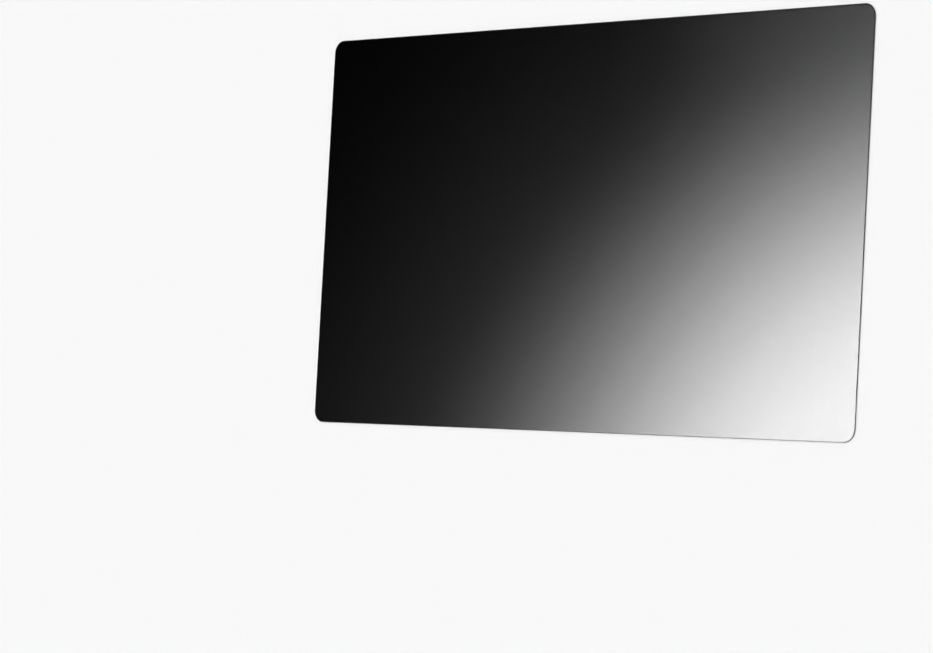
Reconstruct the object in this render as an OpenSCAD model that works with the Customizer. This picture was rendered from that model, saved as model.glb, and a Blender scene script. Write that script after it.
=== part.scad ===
// Privacy filter for a laptop display: one thin die-cut sheet of micro-louvre film with rounded corners.
// It lies flat with the viewer's face up, and its origin is the middle of the face that meets the display.
// X runs along the display, Y runs up the display, and Z points from the display to the viewer.

/* [Sheet] */
// Width of the sheet, along the display
sheet_w = 310; // [200:0.5:420]
// Height of the sheet, up the display
sheet_h = 174.4; // [110:0.2:280]
// Thickness of the laminated film
sheet_t = 0.5; // [0.35:0.05:1.2]
// Radius of the four corners
corner_r = 5.5; // [1.5:0.5:25]

/* [Cut edge] */
// Width of the rounding where the cutting rule pressed into the viewer's face
entry_round = 0.2; // [0.05:0.01:0.22]
// Width of the small bevel where the rule came out at the display's face
exit_bevel = 0.06; // [0.02:0.01:0.12]

/* [Look] */
// Colour of the black louvres that fill the film
film_colour = "#0B0B0D";
// How solid the film looks from the front
film_alpha = 0.8; // [0.3:0.05:1]

/* [Hidden] */

// The corners turn on centres that lie one corner radius in from both edges.
corner_x = sheet_w / 2 - corner_r;
corner_y = sheet_h / 2 - corner_r;

// Each corner is drawn with this many sides to a full turn.
$fn = 96;

// Cross-section of the sheet, from its middle line out to a cut edge at the given reach.
module half_section(reach) {
    square([reach - entry_round, sheet_t]);
    polygon([
        [0, 0],
        [reach - exit_bevel, 0],
        [reach, exit_bevel],
        [reach, sheet_t - entry_round],
        [0, sheet_t - entry_round]
    ]);
    translate([reach - entry_round, sheet_t - entry_round])
        circle(entry_round);
}

// Cross-section from one cut edge to the other.
module full_section(reach) {
    half_section(reach);
    mirror([1, 0])
        half_section(reach);
}

// The part of the sheet between the corners of its left and right edges, cut at those two edges.
module band_along_height() {
    rotate([90, 0, 0])
        linear_extrude(2 * corner_y, center = true)
            full_section(sheet_w / 2);
}

// The part of the sheet between the corners of its upper and lower edges, cut at those two edges.
module band_along_width() {
    rotate([90, 0, 90])
        linear_extrude(2 * corner_x, center = true)
            full_section(sheet_h / 2);
}

// A rounded corner: the same cut edge, swept a quarter turn from the given direction.
module corner(turn) {
    rotate([0, 0, turn])
        rotate_extrude(angle = 90)
            half_section(corner_r);
}

module privacy_sheet() {
    color(film_colour, film_alpha) {
        band_along_height();
        band_along_width();
        translate([corner_x, corner_y])
            corner(0);
        translate([-corner_x, corner_y])
            corner(90);
        translate([-corner_x, -corner_y])
            corner(180);
        translate([corner_x, -corner_y])
            corner(270);
    }
}

privacy_sheet();
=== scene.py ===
import math

import bpy
from mathutils import Matrix, Vector


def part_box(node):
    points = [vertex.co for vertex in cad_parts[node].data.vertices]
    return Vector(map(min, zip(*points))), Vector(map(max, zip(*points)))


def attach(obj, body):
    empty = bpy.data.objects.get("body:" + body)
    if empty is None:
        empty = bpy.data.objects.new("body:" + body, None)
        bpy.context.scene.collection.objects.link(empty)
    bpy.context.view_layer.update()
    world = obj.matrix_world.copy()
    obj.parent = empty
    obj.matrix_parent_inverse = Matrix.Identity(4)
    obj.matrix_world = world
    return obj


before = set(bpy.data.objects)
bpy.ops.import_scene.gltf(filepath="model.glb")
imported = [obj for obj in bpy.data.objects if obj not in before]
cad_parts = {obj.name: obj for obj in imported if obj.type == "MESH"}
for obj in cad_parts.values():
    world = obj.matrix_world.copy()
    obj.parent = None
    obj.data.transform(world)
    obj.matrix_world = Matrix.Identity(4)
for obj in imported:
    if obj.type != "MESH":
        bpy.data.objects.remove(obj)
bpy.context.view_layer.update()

MM = 0.001


# Colours and nodes


def linear(hex_colour):
    """An sRGB hex colour as the linear red, green, blue and alpha that a shader takes."""
    parts = [int(hex_colour[i:i + 2], 16) / 255 for i in (1, 3, 5)]
    return [p / 12.92 if p <= 0.04045 else ((p + 0.055) / 1.055) ** 2.4 for p in parts] + [1]


def add(tree, kind, sockets=None, **settings):
    """Adds one node with its settings. Each socket takes a value, or a link where it is given an output."""
    made = tree.nodes.new(kind)
    for name, value in settings.items():
        setattr(made, name, value)
    for name, value in (sockets or {}).items():
        if isinstance(value, bpy.types.NodeSocket):
            tree.links.new(value, made.inputs[name])
        else:
            made.inputs[name].default_value = value
    return made


def new_material(name):
    """An empty node material and its node tree."""
    made = bpy.data.materials.new(name)
    made.use_nodes = True
    made.node_tree.nodes.clear()
    return made, made.node_tree


# Sizes of the film. The sheet's own come from the frame, in metres.

low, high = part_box("privacy_sheet")
HALF_W = high[0]
HALF_H = high[1]
CORE_Z = (low[2] + high[2]) / 2
CORNER_R = 5.5 * MM

# The louvres stand 0.125 mm apart, as in real privacy film. Film bends light by its index of 1.5, so real
# louvres are nearly twice as tall for the same viewing angle. These are shorter, because light goes straight
# through here. Their four heights stand for the soft end of the view, which goes dark from 39 to 44 degrees
# off straight on.
LOUVRE_PITCH = 0.125 * MM
LOUVRE_THICK = 0.015 * MM
LOUVRE_TALLS = [0.1375 * MM, 0.1196 * MM, 0.1294 * MM, 0.1122 * MM]

# Along the cut, the rule pressed the louvres over and so shut a strip of their layer. The strip starts a hair
# inside the clear edge and shows as a thin dark line.
RIM_INSET = 0.02 * MM
RIM_WIDE = 0.5 * MM
RIM_TALL = 0.15 * MM
CORNER_STEPS = 24


def reach_up(x, inset):
    """How far the sheet's outline, drawn in by the inset, reaches up from the middle line at x."""
    past = max(abs(x) - (HALF_W - CORNER_R), 0)
    return HALF_H - CORNER_R + math.sqrt(max((CORNER_R - inset) ** 2 - past ** 2, 0))


def rounded_outline(inset):
    """The points of the sheet's outline, drawn in by the inset, counterclockwise from the right edge."""
    points = []
    for quarter, (side_x, side_y) in enumerate(((1, 1), (-1, 1), (-1, -1), (1, -1))):
        for step in range(CORNER_STEPS + 1):
            turn = math.radians(90) * (quarter + step / CORNER_STEPS)
            points.append((
                side_x * (HALF_W - CORNER_R) + (CORNER_R - inset) * math.cos(turn),
                side_y * (HALF_H - CORNER_R) + (CORNER_R - inset) * math.sin(turn),
            ))
    return points


def piece_from(name, verts, faces, material):
    """A new object of the scene with this mesh and material."""
    mesh = bpy.data.meshes.new(name)
    mesh.from_pydata(verts, [], faces)
    mesh.materials.append(material)
    piece = bpy.data.objects.new(name, mesh)
    bpy.context.scene.collection.objects.link(piece)
    return piece


def make_louvres(material):
    """The black louvres in the film: thin walls that stand side by side and run up the display."""
    inset = RIM_INSET + RIM_WIDE
    each_side = int((HALF_W - inset) / LOUVRE_PITCH)
    verts, faces = [], []
    for i in range(-each_side, each_side + 1):
        x = i * LOUVRE_PITCH
        reach = reach_up(x, inset)
        tall = LOUVRE_TALLS[i % len(LOUVRE_TALLS)]
        base = len(verts)
        for z in (CORE_Z - tall / 2, CORE_Z + tall / 2):
            for side, y in ((-1, -reach), (1, -reach), (1, reach), (-1, reach)):
                verts.append((x + side * LOUVRE_THICK / 2, y, z))
        faces.append([base + k for k in (3, 2, 1, 0)])
        faces.append([base + k for k in (4, 5, 6, 7)])
        for k in range(4):
            n = (k + 1) % 4
            faces.append([base + k, base + n, base + 4 + n, base + 4 + k])
    return piece_from("louvres", verts, faces, material)


def make_cut_rim(material):
    """The shut strip of the louvre layer: a thin flat ring round the sheet, just inside its clear edge."""
    outer = rounded_outline(RIM_INSET)
    inner = rounded_outline(RIM_INSET + RIM_WIDE)
    under, over = CORE_Z - RIM_TALL / 2, CORE_Z + RIM_TALL / 2
    loops = [(outer, under), (outer, over), (inner, over), (inner, under)]
    verts = [(x, y, z) for points, z in loops for x, y in points]
    around = len(outer)
    faces = []
    for loop in range(len(loops)):
        this, after = loop * around, (loop + 1) % len(loops) * around
        for k in range(around):
            n = (k + 1) % around
            faces.append([this + k, this + n, after + n, after + k])
    return piece_from("cut_rim", verts, faces, material)


# Materials


def hard_coated_polycarbonate():
    """Clear polycarbonate film under a rolled-on hard coat. It shows what is under it, and mirrors a lamp."""
    made, tree = new_material("hard_coated_polycarbonate")
    clear = add(tree, "ShaderNodeBsdfTransparent", {"Color": linear("#FEFEFE")})
    place = add(tree, "ShaderNodeTexCoord")
    # The coat's grain is about 0.05 mm across. It is drawn ten times as coarse, or a render would lose it.
    grain = add(tree, "ShaderNodeTexNoise", {
        "Vector": place.outputs["Object"],
        "Scale": 1 / (0.5 * MM),
        "Detail": 2.0,
        "Roughness": 0.6,
    })
    grained = add(tree, "ShaderNodeBump", {
        "Height": grain.outputs["Fac"],
        "Strength": 0.35,
        "Distance": 0.0004 * MM,
    })
    # The coat flowed out before it cured, so its gloss varies a little over some 25 mm.
    flow = add(tree, "ShaderNodeTexNoise", {
        "Vector": place.outputs["Object"],
        "Scale": 1 / (25 * MM),
        "Detail": 1.0,
    })
    gloss_left = add(tree, "ShaderNodeMapRange", {
        "Value": flow.outputs["Fac"],
        "From Min": 0.3,
        "From Max": 0.7,
        "To Min": 0.048,
        "To Max": 0.052,
    })
    # A full mirror here: the share of it that the mix takes is what film of this index throws back.
    gloss = add(tree, "ShaderNodeBsdfPrincipled", {
        "Base Color": linear("#FFFFFF"),
        "Metallic": 1.0,
        "Roughness": gloss_left.outputs["Result"],
        "Normal": grained.outputs["Normal"],
    })
    fresnel = add(tree, "ShaderNodeFresnel", {"IOR": 1.5})
    # Only the outer side of each face is glossy, so that light which is already in the film gets out again.
    geometry = add(tree, "ShaderNodeNewGeometry")
    outside = add(tree, "ShaderNodeMath", {0: 1.0, 1: geometry.outputs["Backfacing"]}, operation="SUBTRACT")
    share = add(tree, "ShaderNodeMath", {0: fresnel.outputs[0], 1: outside.outputs[0]}, operation="MULTIPLY")
    coated = add(tree, "ShaderNodeMixShader", {0: share.outputs[0], 1: clear.outputs[0], 2: gloss.outputs[0]})
    add(tree, "ShaderNodeOutputMaterial", {"Surface": coated.outputs[0]})
    return made


def carbon_black_resin():
    """Resin filled with carbon black, scraped into grooves in the film and cured. It is as black as ink."""
    made, tree = new_material("carbon_black_resin")
    place = add(tree, "ShaderNodeTexCoord")
    # The filler clumps to grains of about 0.02 mm.
    clumps = add(tree, "ShaderNodeTexNoise", {
        "Vector": place.outputs["Object"],
        "Scale": 1 / (0.02 * MM),
        "Detail": 2.0,
    })
    tone = add(tree, "ShaderNodeMixRGB", {
        "Fac": clumps.outputs["Fac"],
        "Color1": linear("#020203"),
        "Color2": linear("#040405"),
    })
    rough = add(tree, "ShaderNodeMapRange", {"Value": clumps.outputs["Fac"], "To Min": 0.6, "To Max": 0.8})
    # The clear film round it has nearly the same index, so next to nothing is left of its gloss.
    body = add(tree, "ShaderNodeBsdfPrincipled", {
        "Base Color": tone.outputs["Color"],
        "Roughness": rough.outputs["Result"],
        "IOR": 1.5,
        "Specular IOR Level": 0.005,
    })
    add(tree, "ShaderNodeOutputMaterial", {"Surface": body.outputs[0]})
    return made


def matt_paper():
    """Pale seamless paper. It spreads light evenly, and so shows no lamp."""
    made, tree = new_material("matt_paper")
    body = add(tree, "ShaderNodeBsdfDiffuse", {"Color": linear("#F3F3F3")})
    add(tree, "ShaderNodeOutputMaterial", {"Surface": body.outputs[0]})
    return made


# Pieces

film = hard_coated_polycarbonate()
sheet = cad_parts["privacy_sheet"]
sheet.data.materials.clear()
sheet.data.materials.append(film)

resin = carbon_black_resin()
for piece in (make_louvres(resin), make_cut_rim(resin)):
    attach(piece, "root")

# Floor

FLOOR_REACH = 6.0
FLOOR_Z = low[2] - 0.02 * MM
floor = piece_from(
    "floor",
    [(x * FLOOR_REACH, y * FLOOR_REACH, FLOOR_Z) for x, y in ((-1, -1), (1, -1), (1, 1), (-1, 1))],
    [(0, 1, 2, 3)],
    matt_paper(),
)

# Light: a pale studio wall low down all round, a dark ceiling and two round lamps

# The wall fades into the ceiling between these two heights, which are the Z of the direction looked in.
WALL_END, CEILING_START = 0.2, 0.5
WALL_LEVEL, CEILING_LEVEL = 0.93, 0.008

SIDE_LAMP_TOWARDS = Vector((-0.663, -0.058, 1.0))
OVERHEAD_LAMP_TOWARDS = Vector((0.1, 0.45, 1.0))
# Each glow is the way to its middle, its strength, how far out it stays even and where its soft rim ends.
# The side lamp has a second, faint glow, the stray light round it. The hard coat mirrors both along the right
# and lower edges, where the sheet clears.
GLOWS = [
    (SIDE_LAMP_TOWARDS, 18.6, math.radians(6), math.radians(13)),
    (SIDE_LAMP_TOWARDS, 0.66, math.radians(8), math.radians(18)),
    (OVERHEAD_LAMP_TOWARDS, 4.3, math.radians(12), math.radians(38)),
]

world = bpy.data.worlds.new("studio")
world.use_nodes = True
room = world.node_tree
room.nodes.clear()
way = add(room, "ShaderNodeTexCoord")
split = add(room, "ShaderNodeSeparateXYZ", {0: way.outputs["Generated"]})
wall = add(room, "ShaderNodeMapRange", {
    "Value": split.outputs["Z"],
    "From Min": WALL_END,
    "From Max": CEILING_START,
    "To Min": WALL_LEVEL,
    "To Max": CEILING_LEVEL,
}, interpolation_type="SMOOTHSTEP")
light = wall.outputs["Result"]
for towards, strength, even, rim in GLOWS:
    both_ways = {0: way.outputs["Generated"], 1: towards.normalized()}
    along = add(room, "ShaderNodeVectorMath", both_ways, operation="DOT_PRODUCT")
    aside = add(room, "ShaderNodeMath", {0: along.outputs["Value"]}, operation="ARCCOSINE")
    fade = add(room, "ShaderNodeMapRange", {
        "Value": aside.outputs["Value"],
        "From Min": even,
        "From Max": rim,
        "To Min": 1.0,
        "To Max": 0.0,
    }, interpolation_type="SMOOTHSTEP")
    # Squared, the rim fades out slowly at its end, as the edge of a soft lamp does.
    soft = add(room, "ShaderNodeMath", {0: fade.outputs["Result"], 1: 2.0}, operation="POWER")
    lit = add(room, "ShaderNodeMath", {0: soft.outputs[0], 1: strength, 2: light}, operation="MULTIPLY_ADD")
    light = lit.outputs[0]
sky = add(room, "ShaderNodeBackground", {"Color": linear("#FFFFFF"), "Strength": light})
add(room, "ShaderNodeOutputWorld", {"Surface": sky.outputs[0]})
bpy.context.scene.world = world

# Camera

CAMERA_PLACE = Vector((0.98876, -0.11019, 1.07411))
CAMERA_AIM = Vector((-0.06166, -0.04295, 0.0))
CAMERA_ROLL = math.radians(3.142)

camera_data = bpy.data.cameras.new("camera")
camera_data.sensor_width = 36
camera_data.lens = 132.62
camera_data.clip_start = 0.05
camera = bpy.data.objects.new("camera", camera_data)
back = (CAMERA_PLACE - CAMERA_AIM).normalized()
right = Vector((0, 1, 0)).cross(back).normalized()
up = back.cross(right)
turn = Matrix((right, up, back)).transposed() @ Matrix.Rotation(CAMERA_ROLL, 3, "Z")
camera.matrix_world = Matrix.Translation(CAMERA_PLACE) @ turn.to_4x4()
bpy.context.scene.collection.objects.link(camera)
bpy.context.scene.camera = camera
bpy.context.scene.view_settings.view_transform = "Standard"
